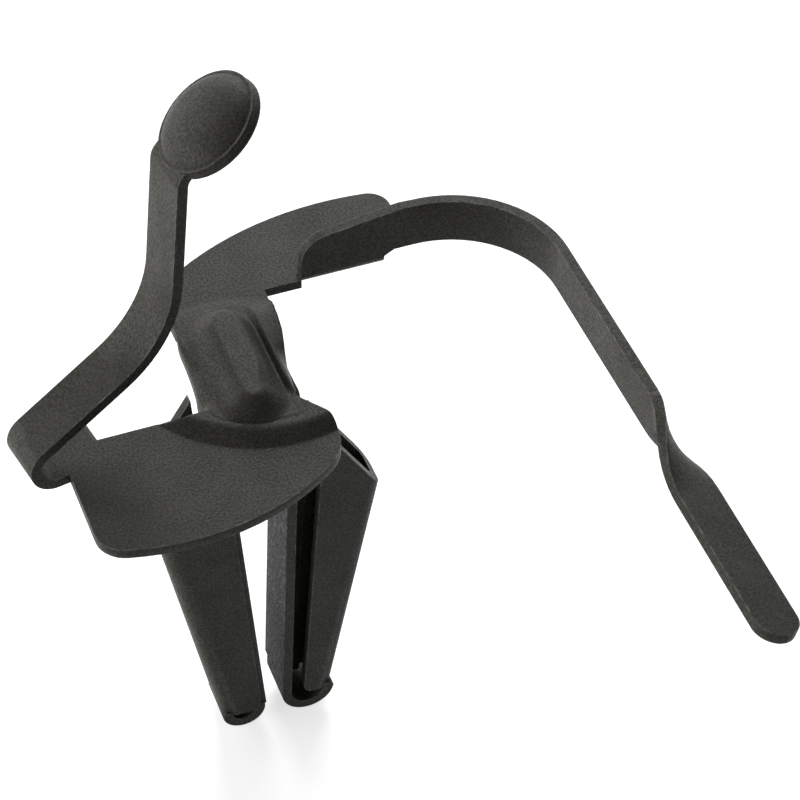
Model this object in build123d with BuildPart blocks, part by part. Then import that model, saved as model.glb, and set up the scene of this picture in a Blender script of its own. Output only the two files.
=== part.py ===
"""Spring steel molding fastener: one stamped and folded sheet, in millimetres.

The flat wings lie in the XY plane with their top faces at z = 0. The near wing runs
towards -X, the far wing towards +X, and the two box legs point down along -Z.
"""
import os
from math import cos, radians, sin, tan

from build123d import *

# Sheet
sheet = 0.55

# Wings, outlined from the fastener's vertical axis
wing_end = 10.8
near_reach = 10.4
near_crown = 6.2
near_edge_radius = 13.0
near_corner_radius = 1.6
near_inner_edge = 2.4
near_root_edge = 2.9
near_root_span = (4.6, 5.8)
near_waist = 2.6
near_nose = 2.5
near_nose_radius = 2.6
near_heel_start = 3.3
near_heel_end = 5.2
near_heel_radius = 1.5
near_heel_waist = 1.05
far_reach = 10.5
far_crown = 7.6
far_edge_radius = 17.0
far_corner_radius = 1.2
far_inner_edge = 5.05
far_waist = 2.15
far_waist_root = 1.55
far_waist_end = 2.35
far_notch = 6.8
far_neck = 2.9
far_nose = 3.15
far_nose_radius = 2.6
waist_fillet = 0.8

# Raised middle of the base
platform_rise = 0.6
platform_slope = 40.0
near_step_radius = 7.5
near_step_center = (0.7, 1.45)
far_step_radius = 6.6
far_step_center = (-1.0, -1.45)
step_bend = 0.2
hump_center = (-0.97, -0.7)
hump_length = 8.0
hump_width = 3.26
hump_rise = 0.9
hump_slope = 38.0
hump_bend = 0.4

# Legs
leg_width = 2.7
leg_bottom = 26.45
left_strand_width = 2.0
right_root = 0.85
right_root_bend = 0.65
right_drop_angle = 70.0
right_drop_length = 1.35
right_lean = 2.3
right_web_lean = 11.0
right_web_length = 15.4
right_foot_bend = 0.98
left_root = 2.55
left_root_bend = 0.8
left_drop_angle = 90.0
left_drop_length = 0.6
left_lean = 4.3
left_web_lean = 10.7
left_web_length = 18.3
left_foot_bend = 0.7
neck_depth = 3.0
hip_bend = 1.8
corner_bend = 0.9
narrow_rake = 58.5
wide_rake = 50.0
narrow_top_reach = 3.2
narrow_foot_reach = 1.75
wide_top_reach = 4.0
wide_foot_reach = 2.3
flange_tip_radius = 0.5

# Left spring arm and its button
left_arm_width = 2.75
left_arm_skew = 10.0
left_arm_root = (-12.05, -4.42)
left_root_length = 2.6
left_fold_start = 0.69
left_fold_bend = 0.85
left_ramp_angle = 30.8
left_ramp_length = 5.17
left_knee_radius = 6.5
left_post_angle = 84.5
left_post_length = 5.9
left_neck_radius = 0.9
button_angle = 37.0
button_roll = 9.0
button_diameter = 5.45
button_rim = 0.5
button_crown = 0.8
button_reach = 2.25

# Right spring arm and its pad
flange_face = 5.2
flange_start = 4.4
flange_lean = 0.15
flange_heel_height = 2.35
flange_heel_radius = 1.6
flange_rise = 3.1
flange_run = 10.0
flange_foot_end = 9.05
flange_foot_rise = 0.55
flange_fold_bend = 0.65
arm_bottom = 0.42
arm_top = 3.06
arm_bend_start = 10.7
arm_bend_radius = 5.7
arm_bend_angle = 89.5
arm_run_length = 11.1
twist_length = 6.0
twist_angle = 75.0
twist_steps = 7
twist_shift = -0.2
twist_drop = 0.22
pad_width = 2.3
pad_length = 9.4

half_sheet = sheet / 2
half_leg = leg_width / 2
narrow_flange = (narrow_top_reach, narrow_foot_reach, narrow_rake)
wide_flange = (wide_top_reach, wide_foot_reach, wide_rake)
room = 3 * wing_end


def nearest(sketch, point):
    """Return the corner of a sketch that lies nearest to a point."""
    return sketch.vertices().sort_by_distance((point[0], point[1], 0))[0]


def step(depth, center, radius):
    """Return a slab with one round step on it, taken at a depth under the top face."""
    inset = depth * tan(radians(platform_slope) / 2)
    with BuildPart() as body:
        with BuildSketch(Plane.XY.offset(-depth)):
            Rectangle(room, room)
        extrude(amount=-2 * sheet)
        with BuildSketch(Plane.XY.offset(-depth)):
            with Locations(center):
                Circle(radius - inset)
        extrude(amount=platform_rise, taper=90 - platform_slope)
        foot = body.edges().filter_by(GeomType.CIRCLE).sort_by(Axis.Z)[0]
        fillet(foot, radius=step_bend + depth)
        crest = body.edges().filter_by(GeomType.CIRCLE).sort_by(Axis.Z)[-1]
        fillet(crest, radius=step_bend + sheet - depth)
    return body.part


def pressed(depth):
    """Return the solid below the pressed face, taken at a depth under the top face."""
    inset = depth * tan(radians(hump_slope) / 2)
    with BuildPart() as body:
        add(step(depth, near_step_center, near_step_radius))
        add(step(depth, far_step_center, far_step_radius), mode=Mode.INTERSECT)
        with BuildSketch(Plane.XY.offset(platform_rise - depth)):
            with Locations(hump_center):
                SlotOverall(hump_length - 2 * inset, hump_width - 2 * inset, rotation=90)
        extrude(amount=hump_rise, taper=90 - hump_slope)
        crest = body.edges().group_by(Axis.Z)[-1]
        fillet(crest, radius=hump_bend + sheet - depth)
    return body.part


def fall(radius, offset):
    """Return how far an arc falls back at an offset from its crown."""
    return radius - (radius**2 - offset**2) ** 0.5


with BuildSketch() as near_wing:
    with BuildLine():
        near_end = (-wing_end, fall(near_edge_radius, wing_end - near_crown) - near_reach)
        near_tip = (near_nose, fall(near_edge_radius, near_nose + near_crown) - near_reach)
        ThreePointArc(near_end, (-near_crown, -near_reach), near_tip)
        nose_low = (near_nose, -near_heel_end)
        nose_high = (near_heel_waist, -near_heel_start)
        Polyline(near_tip, nose_low, nose_high, (near_heel_waist, 0))
        waist_corner = (-near_waist, -near_root_edge)
        Polyline((near_heel_waist, 0), (-near_waist, 0), waist_corner, (-near_root_span[0], -near_root_edge))
        Polyline(
            (-near_root_span[0], -near_root_edge), (-near_root_span[1], -near_inner_edge),
            (-wing_end, -near_inner_edge), near_end,
        )
    make_face()
    fillet(nearest(near_wing, near_end), radius=near_corner_radius)
    fillet(nearest(near_wing, near_tip), radius=near_nose_radius)
    fillet(nearest(near_wing, nose_low), radius=near_heel_radius)
    fillet(nearest(near_wing, nose_high), radius=near_heel_radius)
    fillet(nearest(near_wing, waist_corner), radius=waist_fillet)

with BuildSketch() as far_wing:
    fold_back = flange_face + flange_fold_bend
    with BuildLine():
        far_end = (wing_end, far_reach - fall(far_edge_radius, wing_end - far_crown))
        far_tip = (-far_nose, far_reach - fall(far_edge_radius, far_nose + far_crown))
        ThreePointArc(far_end, (far_crown, far_reach), far_tip)
        Polyline(far_tip, (-far_nose, far_neck), (-left_root, 0), (far_waist_root, 0))
        waist_end = (far_waist_end, far_inner_edge)
        ThreePointArc((far_waist_root, 0), (far_waist, far_inner_edge / 2), waist_end)
        Polyline(waist_end, (flange_start, far_inner_edge), (flange_start, fold_back))
        Polyline((flange_start, fold_back), (flange_foot_end, fold_back), (wing_end, far_notch), far_end)
    make_face()
    fillet(nearest(far_wing, far_end), radius=far_corner_radius)
    fillet(nearest(far_wing, far_tip), radius=far_nose_radius)

with BuildPart() as base:
    add(pressed(0))
    add(pressed(sheet), mode=Mode.SUBTRACT)
    with BuildSketch() as blank:
        add(near_wing.sketch)
        add(far_wing.sketch)
        with Locations((right_root, 0)):
            Rectangle(room, leg_width, align=(Align.MIN, Align.CENTER), mode=Mode.SUBTRACT)
        with Locations((-left_root, 0)):
            Rectangle(room, leg_width, align=(Align.MAX, Align.CENTER), mode=Mode.SUBTRACT)
    extrude(amount=room, both=True, mode=Mode.INTERSECT)


def flange(low, up, length, reach, side):
    """Return half of a leg's channel: its web and the flange on one side of it."""
    top_reach, foot_reach, rake = reach
    inward = Vector(-up.Y, up.X)
    top = low + up * length
    peak = top + Vector(-top_reach, top_reach * tan(radians(rake)))
    tip = low - Vector(foot_reach, 0)
    plane = Plane.XZ if side < 0 else Plane.XZ.offset(-half_leg)
    with BuildPart() as plate:
        with BuildSketch(plane):
            with BuildLine():
                Polyline(low, top, peak, tip, close=True)
            face = make_face()
            fillet(face.vertices().sort_by_distance(tip)[0], radius=flange_tip_radius)
        extrude(amount=half_leg)
        outer = Vector((low + up * length / 2).X, side * half_leg, (low + up * length / 2).Y)
        fillet(plate.edges().sort_by_distance(outer)[0], radius=corner_bend)
    with BuildPart() as hollow:
        inner = low + inward * sheet - up * length
        deep = inward * 2 * top_reach
        with BuildSketch(plane.offset(0 if side < 0 else sheet)):
            with BuildLine():
                above = inner + up * 3 * length
                Polyline(inner, above, above + deep, inner + deep, close=True)
            make_face()
        extrude(amount=half_leg - sheet)
        middle = inner + up * 3 * length / 2
        corner = Vector(middle.X, side * (half_leg - sheet), middle.Y)
        fillet(hollow.edges().sort_by_distance(corner)[0], radius=corner_bend - sheet)
    return plate.part - hollow.part


def leg(
    root, slope, bend, drop_angle, drop_length, lean, foot_bend, web_lean, web_length, back_flange, strand_width
):
    """Return one leg on the +X side, folded down from a root on the base's middle face."""
    with BuildPart() as body:
        with BuildSketch(Plane.XZ):
            with BuildLine():
                heading = Vector(cos(radians(slope)), -sin(radians(slope)))
                shoulder = JernArc(root, heading, bend - half_sheet, slope - drop_angle)
                drop = PolarLine(shoulder @ 1, drop_length, direction=shoulder % 1)
                hip = JernArc(drop @ 1, drop % 1, hip_bend, drop_angle - 90 - lean)
                fall_length = (leg_bottom - foot_bend - sheet + (hip @ 1).Y) / cos(radians(lean))
                strand = PolarLine(hip @ 1, fall_length, direction=hip % 1)
                foot = JernArc(strand @ 1, strand % 1, foot_bend + half_sheet, 180 + lean - web_lean)
                offset(amount=half_sheet, side=Side.BOTH)
            make_face()
        extrude(amount=half_leg, both=True)
        if strand_width < leg_width:
            with Locations((0, strand_width - half_leg, -neck_depth)):
                strand_back = (Align.CENTER, Align.MIN, Align.MAX)
                slit_length = leg_bottom - neck_depth - 2 * foot_bend
                slit = (2 * wide_top_reach, leg_width, slit_length)
                Box(*slit, align=strand_back, mode=Mode.SUBTRACT)
        up = foot % 1
        low = foot @ 1 + Vector(up.Y, -up.X) * half_sheet
        add(flange(low, up, web_length, narrow_flange, -1))
        add(flange(low, up, web_length, back_flange, 1))
    return body.part


flank = radians(hump_slope)
flank_foot = hump_width / 2 - hump_center[0]
right_start = Vector(right_root, platform_rise - half_sheet)
left_start = Vector(left_root, platform_rise + (flank_foot - left_root) * tan(flank))
left_start -= Vector(sin(flank), cos(flank)) * half_sheet
right_leg = leg(
    right_start, 0, right_root_bend, right_drop_angle, right_drop_length, right_lean,
    right_foot_bend, right_web_lean, right_web_length, narrow_flange, leg_width,
)
left_leg = leg(
    left_start, hump_slope, left_root_bend, left_drop_angle, left_drop_length, left_lean,
    left_foot_bend, left_web_lean, left_web_length, wide_flange, left_strand_width,
)

with BuildPart() as left_arm:
    skew = radians(left_arm_skew)
    left_plane = Plane(
        origin=(left_arm_root[0], left_arm_root[1], 0),
        x_dir=(cos(skew), sin(skew), 0),
        z_dir=(sin(skew), -cos(skew), 0),
    )
    with BuildSketch(left_plane):
        with BuildLine():
            start = (left_fold_start + left_root_length, -half_sheet)
            root = Line(start, (left_fold_start, -half_sheet))
            fold = JernArc(root @ 1, root % 1, left_fold_bend + half_sheet, left_ramp_angle - 180)
            ramp = PolarLine(fold @ 1, left_ramp_length, direction=fold % 1)
            knee = JernArc(ramp @ 1, ramp % 1, left_knee_radius, left_post_angle - left_ramp_angle)
            post = PolarLine(knee @ 1, left_post_length, direction=knee % 1)
            neck = JernArc(post @ 1, post % 1, left_neck_radius, button_angle - left_post_angle)
            offset(amount=half_sheet, side=Side.BOTH)
        make_face()
    extrude(amount=-left_arm_width)

    tilt = radians(button_angle)
    button_center = neck @ 1 + (neck % 1) * button_reach
    button_plane = Plane(
        origin=left_plane.from_local_coords(button_center) - left_plane.z_dir * left_arm_width / 2,
        x_dir=left_plane.x_dir * cos(tilt) + Vector(0, 0, sin(tilt)),
        z_dir=Vector(0, 0, cos(tilt)) - left_plane.x_dir * sin(tilt),
    ).rotated((-button_roll, 0, 0))
    with BuildSketch(button_plane.offset(-half_sheet)):
        Circle(button_diameter / 2)
        with Locations((-button_reach / 2, 0)):
            Rectangle(button_reach, left_arm_width)
    extrude(amount=sheet)
    dome_radius = button_diameter / 2 - button_rim
    dome_plane = Plane(origin=button_plane.origin, x_dir=button_plane.x_dir, z_dir=-button_plane.y_dir)
    with BuildSketch(dome_plane):
        with BuildLine():
            ThreePointArc((-dome_radius, 0), (0, button_crown), (dome_radius, 0))
            offset(amount=half_sheet, side=Side.BOTH)
        make_face()
        with Locations((-room / 2, 0)):
            Rectangle(room, room, mode=Mode.SUBTRACT)
    revolve(axis=Axis(button_plane.origin, button_plane.z_dir))

with BuildPart() as right_arm:
    with BuildSketch(Plane.XZ.offset(-flange_face)) as flange_side:
        fold_top = flange_fold_bend - sheet
        heel = (flange_start + flange_lean, flange_heel_height)
        foot_corner = (flange_foot_end + flange_foot_rise, arm_bottom)
        with BuildLine():
            Polyline(
                (flange_start, fold_top), heel, (flange_run, flange_rise), (arm_bend_start, arm_top),
                (arm_bend_start, arm_bottom), foot_corner, (flange_foot_end, fold_top), close=True,
            )
        make_face()
        fillet(nearest(flange_side, heel), radius=flange_heel_radius)
    extrude(amount=-sheet)
    with BuildSketch(Plane.YZ.offset(flange_start)):
        with BuildLine():
            fold_mid = flange_fold_bend - half_sheet
            fold_wall = Line((flange_face + half_sheet, arm_bottom), (flange_face + half_sheet, fold_top))
            fold_turn = JernArc(fold_wall @ 1, fold_wall % 1, fold_mid, 90)
            PolarLine(fold_turn @ 1, sheet, direction=fold_turn % 1)
            offset(amount=half_sheet, side=Side.BOTH)
        make_face()
    extrude(amount=flange_foot_end - flange_start)

    arm_height = arm_top - arm_bottom
    arm_level = arm_bottom + arm_height / 2
    start = Vector(arm_bend_start, flange_face + half_sheet, arm_level)
    with BuildLine() as plan:
        turn = JernArc(start, (1, 0, 0), arm_bend_radius + half_sheet, -arm_bend_angle)
        run = PolarLine(turn @ 1, arm_run_length, direction=turn % 1)
    with BuildSketch(Plane(origin=start, x_dir=(0, 1, 0), z_dir=(1, 0, 0))):
        Rectangle(sheet, arm_height)
    sweep(path=plan.line)
    for index in range(twist_steps + 1):
        share = index / twist_steps
        ease = share * share * (3 - 2 * share)
        roll = radians(ease * twist_angle)
        section = Plane(
            origin=run @ 1 + Vector(twist_shift * ease, -share * twist_length, -twist_drop * ease),
            x_dir=(cos(roll), 0, sin(roll)),
            z_dir=(0, -1, 0),
        )
        with BuildSketch(section):
            Rectangle(sheet, arm_height + (pad_width - arm_height) * ease)
    loft()
    pad_plane = Plane(origin=section.origin, x_dir=(0, -1, 0), z_dir=section.x_dir)
    with BuildSketch(pad_plane.offset(-half_sheet)):
        pad_straight = pad_length - pad_width / 2
        with Locations((pad_straight / 2, 0)):
            Rectangle(pad_straight, pad_width)
        with Locations((pad_straight, 0)):
            Circle(pad_width / 2)
    extrude(amount=sheet)


with BuildPart() as clip:
    add(base.part)
    add(right_leg)
    add(left_leg.rotate(Axis.Z, 180))
    add(left_arm.part)
    add(right_arm.part)

clip.part.label = "clip"
os.makedirs("parts", exist_ok=True)
export_step(clip.part, "parts/clip.step")
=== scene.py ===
"""Blender scene of a spring steel molding fastener clip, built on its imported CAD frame."""
import logging
import math
from collections.abc import Sequence
from dataclasses import dataclass, field
from enum import Enum

import bmesh
import bpy
from mathutils import Matrix, Vector


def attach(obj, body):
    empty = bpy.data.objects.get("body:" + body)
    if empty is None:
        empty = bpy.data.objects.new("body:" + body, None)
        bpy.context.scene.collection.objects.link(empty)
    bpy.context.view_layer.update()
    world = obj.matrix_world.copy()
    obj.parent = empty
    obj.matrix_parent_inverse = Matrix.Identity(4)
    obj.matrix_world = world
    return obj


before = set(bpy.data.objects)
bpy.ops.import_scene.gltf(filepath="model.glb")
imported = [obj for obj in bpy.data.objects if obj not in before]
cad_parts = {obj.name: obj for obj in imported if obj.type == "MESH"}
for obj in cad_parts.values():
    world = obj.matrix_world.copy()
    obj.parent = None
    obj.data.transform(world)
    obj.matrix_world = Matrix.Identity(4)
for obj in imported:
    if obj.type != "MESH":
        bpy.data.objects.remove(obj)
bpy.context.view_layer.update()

MM = 0.001
MM_PER_METRE = 1000.0

logging.basicConfig(level=logging.INFO, format="%(name)s: %(message)s")
LOG = logging.getLogger("clip_scene")


class Surround(Enum):
    """Which rays see the plain white background."""

    SEEN = "Is Camera Ray"
    MIRRORED = "Is Glossy Ray"
    THROUGH = "Is Transmission Ray"


@dataclass(frozen=True)
class Grain:
    """One noise: the size of its features in millimetres, its finer layers and their strength."""

    size: float
    detail: float
    rough: float


@dataclass(frozen=True)
class Specks:
    """Coarse specks on the inner face of the right leg's strand, with painted shade towards the foot that
    leaves fewer bright specks there.

    Zones are pairs from nothing to full. Places are in millimetres, colours are linear.
    """

    grain: Grain = Grain(0.20, 2.0, 0.7)
    facing_zone: tuple[float, float] = (-0.80, -0.95)
    inner_zone: tuple[float, float] = (0.2, 0.5)
    outer_zone: tuple[float, float] = (1.60, 1.52)
    # painted shade towards the foot: the heights where it starts and is full, and how much it darkens the
    # specks
    top_zone: tuple[float, float] = (-3.0, -6.0)
    foot_shade_zone: tuple[float, float] = (-16.0, -23.0)
    foot_painted_shade: float = 0.22
    bright_zone: tuple[float, float] = (0.50, 0.62)
    dark: tuple[float, float, float] = (0.006, 0.006, 0.0055)
    bright: tuple[float, float, float] = (0.125, 0.121, 0.110)
    height: float = 36.0


@dataclass(frozen=True)
class Coating:
    """Dark satin coating on spring steel.

    Sizes are in millimetres, colours are linear. The light edge colour is a painted highlight on the sharp
    edges, in patches from a noise.
    """

    name: str = "coated_spring_steel"
    dark: tuple[float, float, float] = (0.0160, 0.0154, 0.0128)
    light: tuple[float, float, float] = (0.0530, 0.0510, 0.0430)
    # light colour of the painted highlight on the sharp edges
    painted_edge_highlight: tuple[float, float, float] = (0.30, 0.295, 0.28)
    metallic: float = 0.0
    sheen_level: float = 0.10
    grain: Grain = Grain(0.125, 3.0, 0.6)
    fine: Grain = Grain(0.125 * 0.45, 2.0, 0.5)
    patch: Grain = Grain(2.6, 4.0, 0.5)
    # noise that breaks the painted edge highlight into patches
    highlight_patches: Grain = Grain(0.7, 4.0, 0.65)
    specks: Specks = Specks()
    grain_share: float = 0.8
    patch_share: float = 0.2
    fine_share: float = 0.5
    grain_height: float = 0.010
    bump_strength: float = 0.95
    tone_zone: tuple[float, float] = (0.32, 0.70)
    rough_zone: tuple[float, float] = (0.3, 0.7)
    rough_low: float = 0.40
    rough_high: float = 0.58
    edge_radius: float = 0.16
    edge_samples: int = 6
    edge_zone: tuple[float, float] = (0.985, 0.86)
    # where the painted edge highlight shows, and how strongly
    highlight_patch_zone: tuple[float, float] = (0.40, 0.75)
    highlight_patch_shares: tuple[float, float] = (0.05, 0.55)


class Shader:
    """Small helper that adds nodes to one material or world and joins them."""

    def __init__(self, owner: bpy.types.Material | bpy.types.World) -> None:
        """Start with no nodes in that material or world."""
        self.owner = owner
        self.owner.use_nodes = True
        self.tree = self.owner.node_tree
        self.tree.nodes.clear()

    def node(self, kind: str, **values: object) -> bpy.types.Node:
        """Add a node and set its properties.

        Args:
            kind: Blender's node type.
            values: properties of the node, by name.

        Returns:
            The new node.
        """
        made = self.tree.nodes.new(kind)
        for key, value in values.items():
            setattr(made, key, value)
        return made

    def link(self, source: bpy.types.NodeSocket, target: bpy.types.NodeSocket) -> None:
        """Join an output to an input."""
        self.tree.links.new(source, target)

    def math(
        self, operation: str, first: object, second: object, clamp: bool = False
    ) -> bpy.types.NodeSocket:
        """Add a math node.

        Args:
            operation: Blender's name of the operation.
            first: first input, a socket or a number.
            second: second input, a socket or a number.
            clamp: whether the result is kept between 0 and 1.

        Returns:
            The node's output socket.
        """
        made = self.node("ShaderNodeMath", operation=operation, use_clamp=clamp)
        for socket, value in zip(made.inputs, (first, second)):
            if isinstance(value, bpy.types.NodeSocket):
                self.link(value, socket)
            else:
                socket.default_value = value
        return made.outputs[0]

    def ramp(
        self, value: bpy.types.NodeSocket, low: float, high: float, to_low: float = 0.0, to_high: float = 1.0
    ) -> bpy.types.NodeSocket:
        """Map a range of values to another one, with soft ends.

        Args:
            value: the value to map.
            low: value that maps to to_low.
            high: value that maps to to_high.
            to_low: result at low.
            to_high: result at high.

        Returns:
            The mapped value's socket.
        """
        made = self.node("ShaderNodeMapRange", interpolation_type="SMOOTHSTEP")
        self.link(value, made.inputs["Value"])
        made.inputs["From Min"].default_value = low
        made.inputs["From Max"].default_value = high
        made.inputs["To Min"].default_value = to_low
        made.inputs["To Max"].default_value = to_high
        return made.outputs["Result"]

    def background_rays(self) -> bpy.types.NodeSocket:
        """Tell the rays that see the background from those that only carry light.

        Returns:
            A socket that is 1 for camera, glossy and transmission rays.
        """
        path = self.node("ShaderNodeLightPath")
        seen = 0.0
        for ray in Surround:
            seen = self.math("ADD", path.outputs[ray.value], seen, clamp=True)
        return seen

    def noise(self, place: bpy.types.NodeSocket, grain: Grain) -> bpy.types.NodeSocket:
        """Add a noise texture.

        Args:
            place: texture coordinates in millimetres.
            grain: the noise's size and layers.

        Returns:
            The factor's socket.
        """
        made = self.node("ShaderNodeTexNoise")
        self.link(place, made.inputs["Vector"])
        made.inputs["Scale"].default_value = 1.0 / grain.size
        made.inputs["Detail"].default_value = grain.detail
        made.inputs["Roughness"].default_value = grain.rough
        return made.outputs["Fac"]

    def blend(self, factor: bpy.types.NodeSocket, first: object, second: object) -> bpy.types.NodeSocket:
        """Mix two colours.

        Args:
            factor: share of the second colour.
            first: colour, a socket or three linear numbers.
            second: colour, a socket or three linear numbers.

        Returns:
            The mixed colour's socket.
        """
        made = self.node("ShaderNodeMix", data_type="RGBA")
        self.link(factor, made.inputs[0])
        for socket, value in ((made.inputs[6], first), (made.inputs[7], second)):
            if isinstance(value, bpy.types.NodeSocket):
                self.link(value, socket)
            else:
                socket.default_value = (*value, 1.0)
        return made.outputs[2]


class ClipFinish:
    """Makes the coated steel material of the clip, with a painted highlight on its edges."""

    def __init__(self, coating: Coating) -> None:
        """Keep the coating's values."""
        self.coating = coating

    def speckle(
        self, shader: Shader, place: bpy.types.NodeSocket, base: bpy.types.NodeSocket
    ) -> tuple[bpy.types.NodeSocket, bpy.types.NodeSocket]:
        """Add the coarse bright and dark specks on the inner face of the right leg's strand, with painted
        shade on them towards the foot.

        Args:
            shader: the material's nodes.
            place: place on the clip in millimetres.
            base: the coating's colour.

        Returns:
            The colour with the specks, and their height.
        """
        marks = self.coating.specks
        axes = shader.node("ShaderNodeSeparateXYZ")
        shader.link(place, axes.inputs[0])
        facing = shader.node("ShaderNodeNewGeometry")
        sides = shader.node("ShaderNodeSeparateXYZ")
        shader.link(facing.outputs["True Normal"], sides.inputs[0])
        inner = shader.ramp(sides.outputs["X"], *marks.facing_zone)
        for axis, zone in (("X", marks.inner_zone), ("X", marks.outer_zone), ("Z", marks.top_zone)):
            inner = shader.math("MULTIPLY", inner, shader.ramp(axes.outputs[axis], *zone))
        specks = shader.noise(place, marks.grain)
        # Painted shade: fewer bright specks towards the foot, where the foot shades the strand.
        foot_shade = shader.ramp(axes.outputs["Z"], *marks.foot_shade_zone)
        level = shader.math("SUBTRACT", specks, shader.math("MULTIPLY", foot_shade, marks.foot_painted_shade))
        bright = shader.ramp(level, *marks.bright_zone)
        coarse = shader.blend(bright, marks.dark, marks.bright)
        height = shader.math("MULTIPLY", shader.math("MULTIPLY", inner, specks), marks.height)
        return shader.blend(inner, base, coarse), height

    def build(self) -> bpy.types.Material:
        """Build the material.

        Returns:
            The finished material.
        """
        coat = self.coating
        shader = Shader(bpy.data.materials.new(coat.name))
        place_node = shader.node("ShaderNodeTexCoord")
        scale = shader.node("ShaderNodeMapping")
        scale.inputs["Scale"].default_value = (MM_PER_METRE,) * 3
        shader.link(place_node.outputs["Object"], scale.inputs["Vector"])
        place = scale.outputs["Vector"]
        grain = shader.noise(place, coat.grain)
        fine = shader.noise(place, coat.fine)
        patch = shader.noise(place, coat.patch)
        highlight_patches = shader.noise(place, coat.highlight_patches)

        grain_part = shader.math("MULTIPLY", grain, coat.grain_share)
        mottled = shader.math("ADD", grain_part, shader.math("MULTIPLY", patch, coat.patch_share))
        tone = shader.ramp(mottled, *coat.tone_zone)
        base = shader.blend(tone, coat.dark, coat.light)
        base, coarse = self.speckle(shader, place, base)

        # Painted highlight: a light colour blended onto the sharp edges that the bevel node finds, in
        # patches from a noise.
        bevel = shader.node("ShaderNodeBevel", samples=coat.edge_samples)
        bevel.inputs["Radius"].default_value = coat.edge_radius * MM
        normal = shader.node("ShaderNodeNewGeometry")
        dot = shader.node("ShaderNodeVectorMath", operation="DOT_PRODUCT")
        shader.link(bevel.outputs["Normal"], dot.inputs[0])
        shader.link(normal.outputs["Normal"], dot.inputs[1])
        edge = shader.ramp(dot.outputs["Value"], *coat.edge_zone)
        highlight_share = shader.ramp(highlight_patches, *coat.highlight_patch_zone, *coat.highlight_patch_shares)
        painted_edge_highlight = shader.math("MULTIPLY", edge, highlight_share, clamp=True)
        colour = shader.blend(painted_edge_highlight, base, coat.painted_edge_highlight)

        rough = shader.ramp(mottled, *coat.rough_zone, coat.rough_high, coat.rough_low)
        bump = shader.node("ShaderNodeBump")
        bump.inputs["Strength"].default_value = coat.bump_strength
        bump.inputs["Distance"].default_value = coat.grain_height * MM
        height = shader.math("ADD", grain, shader.math("MULTIPLY", fine, coat.fine_share))
        height = shader.math("ADD", height, coarse)
        shader.link(height, bump.inputs["Height"])

        steel = shader.node("ShaderNodeBsdfPrincipled")
        shader.link(colour, steel.inputs["Base Color"])
        shader.link(rough, steel.inputs["Roughness"])
        shader.link(bump.outputs["Normal"], steel.inputs["Normal"])
        steel.inputs["Metallic"].default_value = coat.metallic
        steel.inputs["Specular IOR Level"].default_value = coat.sheen_level
        out = shader.node("ShaderNodeOutputMaterial")
        shader.link(steel.outputs["BSDF"], out.inputs["Surface"])
        return shader.owner


@dataclass
class Clip:
    """The folded clip: the CAD node itself, coated and with softened edges. In millimetres and degrees."""

    node_name: str = "clip"
    coating: Coating = field(default_factory=Coating)
    weld: float = 0.002
    edge_break: float = 0.09
    edge_segments: int = 3
    crease_angle: float = 32.0

    def build(self) -> bpy.types.Object:
        """Dress the CAD node.

        Returns:
            The clip's object.
        """
        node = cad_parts[self.node_name]
        material = ClipFinish(self.coating).build()
        node.data.materials.clear()
        node.data.materials.append(material)
        merge = node.modifiers.new("merge", "WELD")
        merge.merge_threshold = self.weld * MM
        soften = node.modifiers.new("edge_break", "BEVEL")
        soften.width = self.edge_break * MM
        soften.segments = self.edge_segments
        soften.limit_method = "ANGLE"
        soften.angle_limit = math.radians(self.crease_angle)
        soften.harden_normals = False
        LOG.info("%s dressed with %s", node.name, material.name)
        return node


def add_object(name: str, data: bpy.types.ID) -> bpy.types.Object:
    """Put new data in the scene as an object.

    Args:
        name: the object's name.
        data: its mesh, light or camera.

    Returns:
        The object.
    """
    made = bpy.data.objects.new(name, data)
    bpy.context.scene.collection.objects.link(made)
    return made


def add_sheet(
    name: str,
    points: Sequence[Sequence[float]],
    faces: Sequence[Sequence[int]],
    thickness: float,
    finish: bpy.types.Material,
) -> bpy.types.Object:
    """Make a smooth surface that has its thickness below it.

    Args:
        name: the piece's name.
        points: vertices in metres.
        faces: faces as lists of vertex numbers.
        thickness: the sheet's thickness in millimetres.
        finish: the piece's material.

    Returns:
        The piece's object.
    """
    mesh = bpy.data.meshes.new(name)
    mesh.from_pydata(points, [], faces)
    mesh.polygons.foreach_set("use_smooth", [True] * len(mesh.polygons))
    mesh.materials.append(finish)
    sheet = add_object(name, mesh)
    solid = sheet.modifiers.new("sheet", "SOLIDIFY")
    solid.thickness = thickness * MM
    solid.offset = -1.0
    return sheet


def along(rail: tuple[tuple[float, float], ...], value: float) -> float:
    """Read a table of pairs, in straight lines between its entries.

    Args:
        rail: pairs of position and result, in rising order of position.
        value: the position to read.

    Returns:
        The result there.
    """
    if value <= rail[0][0]:
        return rail[0][1]
    for (low, first), (high, second) in zip(rail, rail[1:]):
        if value <= high:
            return first + (second - first) * (value - low) / (high - low)
    return rail[-1][1]


def fade(value: float, start: float, end: float) -> float:
    """Rise softly from 0 at start to 1 at end."""
    share = min(1.0, max(0.0, (value - start) / (end - start)))
    return share * share * (3 - 2 * share)


def within(value: float, zones: tuple[tuple[float, float], tuple[float, float]]) -> float:
    """Tell how far a value is past the soft ends of a stretch, from 0 outside to 1 inside."""
    near, far = zones
    return fade(value, *near) * fade(value, *far)


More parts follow.
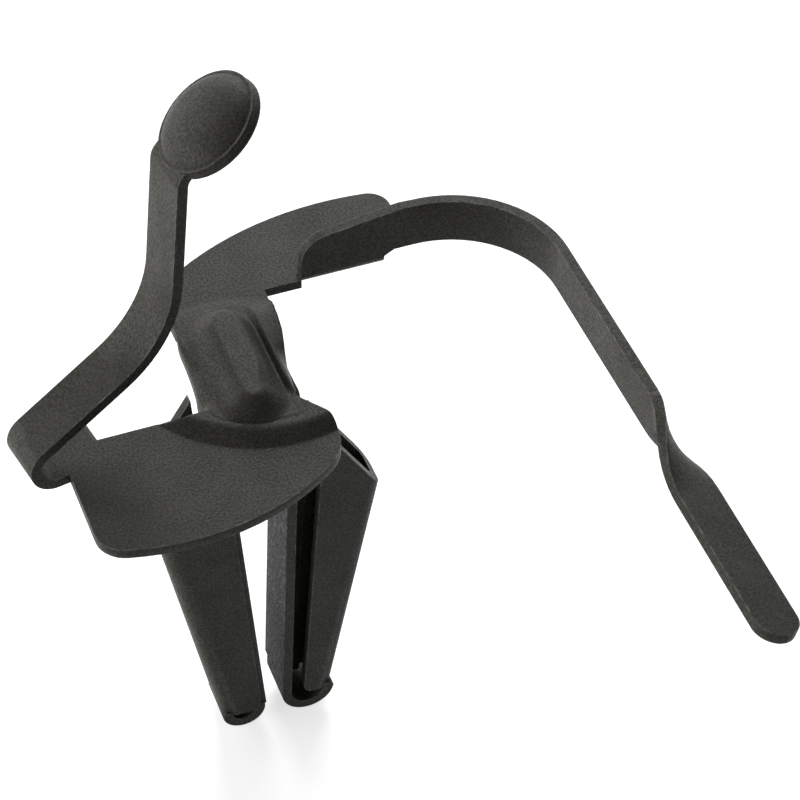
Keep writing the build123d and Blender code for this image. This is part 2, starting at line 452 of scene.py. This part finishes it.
@dataclass
class PressedWaist:
    """The soft skin of the pressed waist, which the CAD has only as plain slopes.

    Sizes are in millimetres. Zones are pairs from nothing to full.
    """

    platform: float = 0.6
    skin: float = 0.025
    hump_x: float = -0.97
    hump_far: float = 1.67
    hump_near: float = -3.07
    hump_rise: float = 0.9
    left_profile: tuple[float, float] = (0.35, 1.95)
    right_profile: tuple[float, float] = (0.85, 1.8)
    toe_profile: tuple[float, float] = (0.3, 1.9)
    side_blend: float = 0.4
    toe_zone: tuple[float, float] = (-1.0, -3.0)
    far_stretch: float = 0.8
    far_end: float = 3.95
    near_end: float = -4.82
    near_arc: tuple[float, float, float] = (0.7, 1.45, 6.35)
    far_arc: tuple[float, float, float] = (-1.0, -1.45, 5.7)
    end_zones: tuple[float, float] = (-3.4, 2.9)
    left_rail: tuple[tuple[float, float], ...] = (
        (-4.82, -2.9), (-3.2, -3.3), (-1.4, -3.32), (0.0, -3.22), (2.0, -3.22), (3.0, -3.1)
    )
    right_rail: tuple[tuple[float, float], ...] = (
        (-3.4, 1.0), (-2.9, 1.34), (-2.0, 1.45), (-1.0, 1.54),
        (0.0, 1.74), (1.3, 2.05), (2.5, 2.2), (3.95, 2.28),
    )
    shoulder_rail: tuple[tuple[float, float], ...] = ((0.0, -2.5), (2.9, -3.12))
    shoulder_bend: float = 0.8
    shoulder_limit: float = 0.97
    shoulder_zones: tuple[tuple[float, float], tuple[float, float]] = ((-3.0, -2.1), (3.3, 2.3))
    groove_x: float = 0.72
    ridge_x: float = 1.06
    ridge_rise: float = 0.34
    flap_zones: tuple[tuple[float, float], tuple[float, float]] = ((-3.3, -2.3), (3.7, 2.4))
    flap_least: float = 0.1
    flap_fall: float = 0.55
    fall_zone: tuple[float, float] = (0.5, -0.8)
    side_drop: float = 0.75
    hem_inner: float = 0.05
    hem_outer: float = 0.1
    hem_scale: float = 10.0
    hem_zones: tuple[tuple[float, float], tuple[float, float]] = ((-3.0, -2.2), (3.1, 2.4))
    rim_sink: float = 0.045
    rim_left: tuple[float, float] = (0.04, 0.0)
    rim_right: tuple[float, float] = (0.97, 1.0)
    rim_rows: float = 0.25
    thickness: float = 0.22
    columns: int = 64
    rows: int = 84

    def height(self, x: float, y: float, right: float) -> float:
        """Work out the skin's height.

        Args:
            x: place across the waist.
            y: place along the waist.
            right: where the waist ends on the right at that y.

        Returns:
            The height over the flat wings.
        """
        past = self.far_stretch * max(0.0, y - self.hump_far) + max(0.0, self.hump_near - y)
        reach = math.hypot(x - self.hump_x, past)
        side = fade(x, self.hump_x - self.side_blend, self.hump_x + self.side_blend)
        toe = fade(y, *self.toe_zone)
        flat, foot = (
            (left + (middle - left) * side) * (1 - toe) + end * toe
            for left, middle, end in zip(self.left_profile, self.right_profile, self.toe_profile)
        )
        share = min(1.0, max(0.0, (reach - flat) / (foot - flat)))
        level = self.platform + self.skin + self.hump_rise * (1 + math.cos(math.pi * share)) / 2
        open_side = within(y, self.shoulder_zones)
        over = min(self.shoulder_bend * self.shoulder_limit, max(0.0, along(self.shoulder_rail, y) - x))
        level -= open_side * (self.shoulder_bend - math.sqrt(self.shoulder_bend ** 2 - over ** 2))
        flap = within(y, self.flap_zones)
        if x > self.groove_x:
            outer = max(0.0, (x - self.ridge_x) / max(self.flap_least, right - self.ridge_x))
            level += flap * self.ridge_rise * fade(x, self.groove_x, self.ridge_x) * (1 - outer)
            level -= flap * self.flap_fall * fade(y, *self.fall_zone) * outer ** 2
        return level

    def bent(self, x: float, y: float) -> float:
        """Bend the rows near both ends to follow the edges of the raised waist.

        Args:
            x: place across the waist.
            y: the row's place along the waist.

        Returns:
            The bent place along the waist.
        """
        near_zone, far_zone = self.end_zones
        if y > far_zone:
            middle, base, radius = self.far_arc
            edge = base + math.sqrt(radius ** 2 - (x - middle) ** 2)
            return far_zone + (y - far_zone) * (edge - far_zone) / (self.far_end - far_zone)
        if y < near_zone:
            middle, base, radius = self.near_arc
            edge = base - math.sqrt(radius ** 2 - (x - middle) ** 2)
            return near_zone + (y - near_zone) * (edge - near_zone) / (self.near_end - near_zone)
        return y

    def point(self, across: float, y: float) -> tuple[float, float, float]:
        """Place one vertex of the skin.

        Args:
            across: 0 at the left edge and 1 at the right one; beyond them the skin turns down.
            y: place along the waist.

        Returns:
            The vertex in metres.
        """
        left, right = along(self.left_rail, y), along(self.right_rail, y)
        share = min(1.0, max(0.0, across))
        x = left + (right - left) * share
        far_rim = fade(y, self.far_end - self.rim_rows, self.far_end)
        near_rim = fade(y, self.near_end + self.rim_rows, self.near_end)
        y = self.bent(x, y)
        level = self.height(x, y, right)
        hang = within(y, self.hem_zones)
        down = max(0.0, -across, across - 1) * self.hem_scale
        level -= down * self.side_drop * hang
        rim = fade(share, *self.rim_left) + fade(share, *self.rim_right)
        level -= self.rim_sink * max(min(1.0, rim) * (1 - hang), far_rim, near_rim)
        return (x * MM, y * MM, level * MM)

    def build(self, finish: bpy.types.Material) -> bpy.types.Object:
        """Build the skin and seat it on the clip.

        Args:
            finish: the clip's coating.

        Returns:
            The skin's object.
        """
        shares = [-self.hem_outer, -self.hem_inner]
        shares += [i / self.columns for i in range(self.columns + 1)]
        shares.append(1 + self.hem_inner)
        rows = [self.far_end + (self.near_end - self.far_end) * j / self.rows for j in range(self.rows + 1)]
        points = [self.point(share, y) for y in rows for share in shares]
        width = len(shares)
        faces = [
            (j * width + i, (j + 1) * width + i, (j + 1) * width + i + 1, j * width + i + 1)
            for j in range(len(rows) - 1)
            for i in range(width - 1)
        ]
        skin = add_sheet("waist_skin", points, faces, self.thickness, finish)
        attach(skin, "root")
        LOG.info("%s seated", skin.name)
        return skin


@dataclass
class ButtonSkin:
    """The button's pillow face, rolled over to its rim. In millimetres."""

    center: tuple[float, float, float] = (-2.0337, -1.2576, 17.2833)
    facing: tuple[float, float, float] = (-0.5927, 0.0217, 0.8052)
    radius: float = 2.76
    rim_level: float = -0.28
    crown: float = 1.375
    fullness: float = 2.35
    roundness: float = 2.0
    thickness: float = 0.1
    rings: int = 28
    sides: int = 72

    def build(self, finish: bpy.types.Material) -> bpy.types.Object:
        """Build the face and seat it on the clip.

        Args:
            finish: the clip's coating.

        Returns:
            The face's object.
        """
        facing = Vector(self.facing).normalized()
        across = facing.orthogonal().normalized()
        aside = facing.cross(across)
        middle = Vector(self.center)
        points = [middle + facing * (self.rim_level + self.crown)]
        for ring in range(1, self.rings + 1):
            share = math.sin(math.pi / 2 * ring / self.rings)
            level = self.rim_level + self.crown * (1 - share ** self.fullness) ** (1 / self.roundness)
            for side in range(self.sides):
                turn = 2 * math.pi * side / self.sides
                reach = (across * math.cos(turn) + aside * math.sin(turn)) * self.radius * share
                points.append(middle + reach + facing * level)
        faces = [(0, 1 + side, 1 + (side + 1) % self.sides) for side in range(self.sides)]
        for ring in range(self.rings - 1):
            first = 1 + ring * self.sides
            for side in range(self.sides):
                after = (side + 1) % self.sides
                outer = first + self.sides
                faces.append((first + side, outer + side, outer + after, first + after))
        face = add_sheet("button_face", [point * MM for point in points], faces, self.thickness, finish)
        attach(face, "root")
        LOG.info("%s seated", face.name)
        return face


@dataclass(frozen=True)
class LegPlate:
    """A straight strip of a leg: its outline in X and Z, and its front and back in Y. In millimetres."""

    name: str
    outline: tuple[tuple[float, float], ...]
    front: float
    back: float

    def build(self, finish: bpy.types.Material) -> bpy.types.Object:
        """Build the strip and seat it on the clip.

        Args:
            finish: the clip's coating.

        Returns:
            The strip's object.
        """
        count = len(self.outline)
        points = [(x * MM, y * MM, z * MM) for y in (self.front, self.back) for x, z in self.outline]
        faces = [tuple(range(count)), tuple(reversed(range(count, 2 * count)))]
        for i in range(count):
            after = (i + 1) % count
            faces.append((i, count + i, count + after, after))
        mesh = bpy.data.meshes.new(self.name)
        mesh.from_pydata(points, [], faces)
        body = bmesh.new()
        body.from_mesh(mesh)
        bmesh.ops.recalc_face_normals(body, faces=body.faces)
        body.to_mesh(mesh)
        body.free()
        mesh.materials.append(finish)
        plate = add_object(self.name, mesh)
        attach(plate, "root")
        LOG.info("%s seated", plate.name)
        return plate


LEG_PLATES = (
    LegPlate(
        "right_leg_back_flange",
        ((1.62, -7.0), (3.0, -7.0), (2.3, -25.75), (1.15, -25.75)),
        front=0.84,
        back=1.31,
    ),
    LegPlate(
        "right_leg_strand_edge",
        ((1.45, -3.0), (2.0, -3.0), (1.14, -24.4), (0.6, -24.4)),
        front=1.3,
        back=1.72,
    ),
    LegPlate(
        "left_leg_strand_edge",
        ((-2.6, -4.0), (-1.95, -4.0), (-0.36, -25.2), (-1.0, -25.4)),
        front=-1.28,
        back=-0.6,
    ),
)


@dataclass(frozen=True)
class SoftLight:
    """A rectangular soft light.

    Angles are in degrees, from +X and from the floor. Sizes are in millimetres. The level is its radiance.
    """

    name: str
    azimuth: float
    elevation: float
    level: float
    width: float = 450.0
    height: float = 160.0


SOFT_LIGHTS = (
    SoftLight("back_softbox", 69.0, 41.0, 7.3, 270.0, 270.0),
    SoftLight("back_right_strip", 45.0, 17.0, 1.7),
    SoftLight("back_strip", 90.0, 17.0, 2.0),
    SoftLight("back_left_strip", 138.0, 14.0, 4.2),
    SoftLight("left_strip", 184.0, 9.0, 9.5),
)


@dataclass
class Studio:
    """Floor, lights, world and camera. Sizes are in millimetres, angles in degrees."""

    floor_level: float = -26.7
    floor_size: float = 560.0
    azimuth: float = -21.0
    elevation: float = 45.0
    roll: float = 0.5
    distance: float = 151.515
    lens: float = 135.0
    aim_right: float = 7.451
    aim_up: float = -1.801
    sensor: float = 36.0
    clip_near: float = 10.0
    clip_far: float = 10000.0
    floor_paint: float = 0.8
    lit_floor: float = 0.62
    world_level: float = 0.14
    lamp_reach: float = 500.0

    def axes(self) -> tuple[Vector, Vector, Vector]:
        """Work out the camera's directions.

        Returns:
            The directions to the right, up and forward.
        """
        turn, tilt, roll = (math.radians(a) for a in (self.azimuth, self.elevation, self.roll))
        forward = Vector(
            (-math.sin(turn) * math.cos(tilt), math.cos(turn) * math.cos(tilt), -math.sin(tilt))
        )
        right = Vector((math.cos(turn), math.sin(turn), 0.0))
        up = right.cross(forward)
        return (
            math.cos(roll) * right + math.sin(roll) * up,
            -math.sin(roll) * right + math.cos(roll) * up,
            forward,
        )

    def camera(self) -> bpy.types.Object:
        """Place the camera at the photograph's viewing angle.

        Returns:
            The camera's object.
        """
        right, up, forward = self.axes()
        spot = (self.aim_right * right + self.aim_up * up - self.distance * forward) * MM
        data = bpy.data.cameras.new("camera")
        data.lens = self.lens
        data.sensor_width = self.sensor
        data.clip_start = self.clip_near * MM
        data.clip_end = self.clip_far * MM
        camera = add_object("camera", data)
        turn = Matrix((right, up, -forward)).transposed()
        camera.matrix_world = Matrix.Translation(spot) @ turn.to_4x4()
        bpy.context.scene.camera = camera
        return camera

    def floor(self) -> bpy.types.Object:
        """Make the pale floor, which keeps a soft shadow of the clip.

        Returns:
            The floor's object.
        """
        half = self.floor_size * MM / 2
        mesh = bpy.data.meshes.new("floor")
        corners = [(-half, -half, 0), (half, -half, 0), (half, half, 0), (-half, half, 0)]
        mesh.from_pydata(corners, [], [(0, 1, 2, 3)])
        floor = add_object("floor", mesh)
        floor.location.z = self.floor_level * MM
        shader = Shader(bpy.data.materials.new("floor_white"))
        paint = shader.node("ShaderNodeBsdfDiffuse")
        paint.inputs["Color"].default_value = (self.floor_paint, self.floor_paint, self.floor_paint, 1.0)
        glow = shader.node("ShaderNodeEmission")
        shine = shader.math("MULTIPLY", shader.background_rays(), self.lit_floor)
        shader.link(shine, glow.inputs["Strength"])
        both = shader.node("ShaderNodeAddShader")
        shader.link(paint.outputs[0], both.inputs[0])
        shader.link(glow.outputs[0], both.inputs[1])
        out = shader.node("ShaderNodeOutputMaterial")
        shader.link(both.outputs[0], out.inputs["Surface"])
        mesh.materials.append(shader.owner)
        return floor

    def world(self) -> None:
        """Give the scene a surround that is white to the eye and lights the clip only a little."""
        world = bpy.data.worlds.new("surround")
        shader = Shader(world)
        glow = shader.node("ShaderNodeBackground")
        glow.inputs["Strength"].default_value = self.world_level
        white = shader.node("ShaderNodeBackground")
        mix = shader.node("ShaderNodeMixShader")
        out = shader.node("ShaderNodeOutputWorld")
        shader.link(shader.background_rays(), mix.inputs[0])
        shader.link(glow.outputs[0], mix.inputs[1])
        shader.link(white.outputs[0], mix.inputs[2])
        shader.link(mix.outputs[0], out.inputs["Surface"])
        bpy.context.scene.world = world

    def lamp(self, light: SoftLight) -> bpy.types.Object:
        """Hang one soft light that faces the clip.

        Args:
            light: the light's name, direction, brightness and size.

        Returns:
            The light's object.
        """
        turn, tilt = math.radians(light.azimuth), math.radians(light.elevation)
        way = Vector((math.cos(turn) * math.cos(tilt), math.sin(turn) * math.cos(tilt), math.sin(tilt)))
        data = bpy.data.lights.new(light.name, "AREA")
        data.shape = "RECTANGLE"
        data.size = light.width * MM
        data.size_y = light.height * MM
        data.energy = light.level * math.pi * data.size * data.size_y
        lamp = add_object(light.name, data)
        lamp.location = way * self.lamp_reach * MM
        lamp.rotation_euler = (-way).to_track_quat("-Z", "Y").to_euler()
        return lamp

    def build(self) -> None:
        """Set up the whole studio."""
        self.camera()
        self.floor()
        self.world()
        for light in SOFT_LIGHTS:
            self.lamp(light)
        bpy.context.scene.view_settings.view_transform = "Standard"
        LOG.info("studio ready")


def main() -> None:
    """Build the clip and the studio."""
    clip = Clip().build()
    coating = clip.active_material
    PressedWaist().build(coating)
    ButtonSkin().build(coating)
    for plate in LEG_PLATES:
        plate.build(coating)
    Studio().build()


if __name__ == "__main__":
    main()
